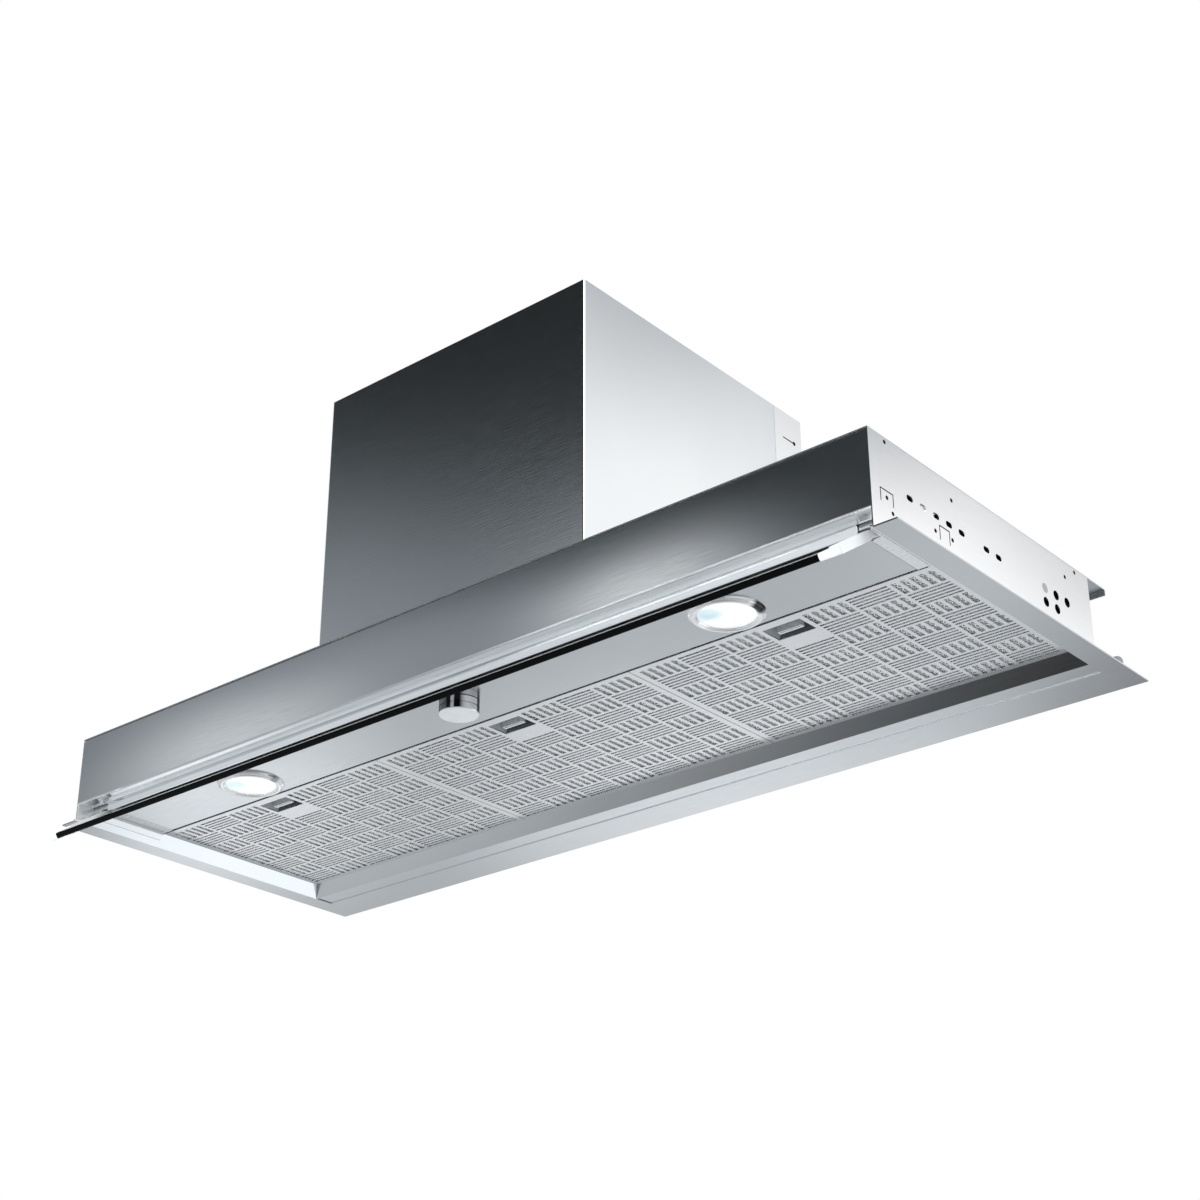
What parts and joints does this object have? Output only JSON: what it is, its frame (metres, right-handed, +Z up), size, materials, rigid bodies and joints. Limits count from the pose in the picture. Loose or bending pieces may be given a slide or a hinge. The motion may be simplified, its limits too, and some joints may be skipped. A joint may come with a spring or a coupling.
{
  "type": "built-in range hood",
  "caption": "Stainless built-in range hood with a sliding glass visor, grease filters, lamps and a turning knob.",
  "frame": {"origin": "middle of the hood's width, at the front panel's face and the flange's underside", "axes": "+X to the hood's right as seen from the front, +Y from the front panel to the wall, +Z up"},
  "size_m": [0.9, 0.3862, 0.4217],
  "materials": {
    "brushed_body": "brushed",
    "bright_side": "satin",
    "galvanised": "satin",
    "filter_sheet": "satin",
    "filter_wire": "bright",
    "polished": "polished",
    "clear_glass": "clear",
    "lamp_glass": "frosted",
    "dark_trim": "gloss",
    "white_plastic": "matt",
    "grey_plastic": "matt",
    "black_plastic": "matt",
    "machined": "turned"
  },
  "bodies": {
    "hood": {"front_panel": "brushed_body", "side_plate_left": "bright_side", "side_plate_right": "bright_side", "rear_panel": "galvanised", "top_plate": "galvanised", "bottom_frame": "brushed_body", "light_panel": "brushed_body", "visor_guide_left": "galvanised", "visor_guide_right": "galvanised", "rotary_switch": "black_plastic", "lamp_ring_left": "polished", "lamp_ring_right": "polished", "lamp_glass_left": "lamp_glass", "lamp_glass_right": "lamp_glass", "lamp_body_left": "grey_plastic", "lamp_body_right": "grey_plastic", "lamp_driver": "white_plastic", "motor_cover": "brushed_body", "motor_rear_cover": "bright_side", "motor_box_lid": "galvanised", "blower_housing": "galvanised", "motor": "galvanised", "motor_bracket": "galvanised", "outlet_collar": "black_plastic", "flap_pin": "machined", "control_box": "white_plastic", "control_box_lid": "white_plastic", "cable_gland": "black_plastic", "cover_screws": "machined", "hole_plugs": "grey_plastic"},
    "visor": {"visor_glass": "clear_glass", "visor_trim": "dark_trim", "visor_arm_left": "white_plastic", "visor_arm_right": "white_plastic"},
    "knob": {"control_knob": "polished", "knob_spindle": "machined"},
    "wheel": {"blower_wheel": "black_plastic", "motor_shaft": "machined"},
    "flap_front": {"flap_front": "black_plastic"},
    "flap_rear": {"flap_rear": "black_plastic"},
    "filter_left": {"filter_frame_left": "filter_sheet", "filter_mesh_left": "filter_wire", "latch_cup_left": "grey_plastic"},
    "latch_left": {"latch_slider_left": "machined"},
    "filter_centre": {"filter_frame_centre": "filter_sheet", "filter_mesh_centre": "filter_wire", "latch_cup_centre": "grey_plastic"},
    "latch_centre": {"latch_slider_centre": "machined"},
    "filter_right": {"filter_frame_right": "filter_sheet", "filter_mesh_right": "filter_wire", "latch_cup_right": "grey_plastic"},
    "latch_right": {"latch_slider_right": "machined"}
  },
  "joints": [
    {"name": "visor_slide", "type": "slide", "parent": "hood", "child": "visor", "axis": [0, -0.8271, -0.5621], "range_m": [-0.056, 0]},
    {"name": "knob_turn", "type": "hinge", "parent": "hood", "child": "knob", "pos_m": [0, 0.04906, 0.005], "axis": [0, 0, -1], "range_deg": [0, 270]},
    {"name": "wheel_spin", "type": "hinge", "parent": "hood", "child": "wheel", "pos_m": [0, 0.1342, 0.2154], "axis": [1, 0, 0], "continuous": true},
    {"name": "flap_front_swing", "type": "hinge", "parent": "hood", "child": "flap_front", "pos_m": [0, 0.1947, 0.357], "axis": [-1, 0, 0], "range_deg": [0, 70]},
    {"name": "flap_rear_swing", "type": "hinge", "parent": "hood", "child": "flap_rear", "pos_m": [0, 0.1947, 0.357], "axis": [1, 0, 0], "range_deg": [0, 70]},
    {"name": "filter_left_tilt", "type": "hinge", "parent": "hood", "child": "filter_left", "pos_m": [-0.28083, 0.28364, 0.011], "axis": [1, 0, 0], "range_deg": [0, 35]},
    {"name": "latch_left_slide", "type": "slide", "parent": "filter_left", "child": "latch_left", "axis": [0, 1, 0], "range_m": [0, 0.005], "stiffness_N_per_m": 400},
    {"name": "filter_centre_tilt", "type": "hinge", "parent": "hood", "child": "filter_centre", "pos_m": [0, 0.28364, 0.011], "axis": [1, 0, 0], "range_deg": [0, 35]},
    {"name": "latch_centre_slide", "type": "slide", "parent": "filter_centre", "child": "latch_centre", "axis": [0, 1, 0], "range_m": [0, 0.005], "stiffness_N_per_m": 400},
    {"name": "filter_right_tilt", "type": "hinge", "parent": "hood", "child": "filter_right", "pos_m": [0.28083, 0.28364, 0.011], "axis": [1, 0, 0], "range_deg": [0, 35]},
    {"name": "latch_right_slide", "type": "slide", "parent": "filter_right", "child": "latch_right", "axis": [0, 1, 0], "range_m": [0, 0.005], "stiffness_N_per_m": 400}
  ]
}
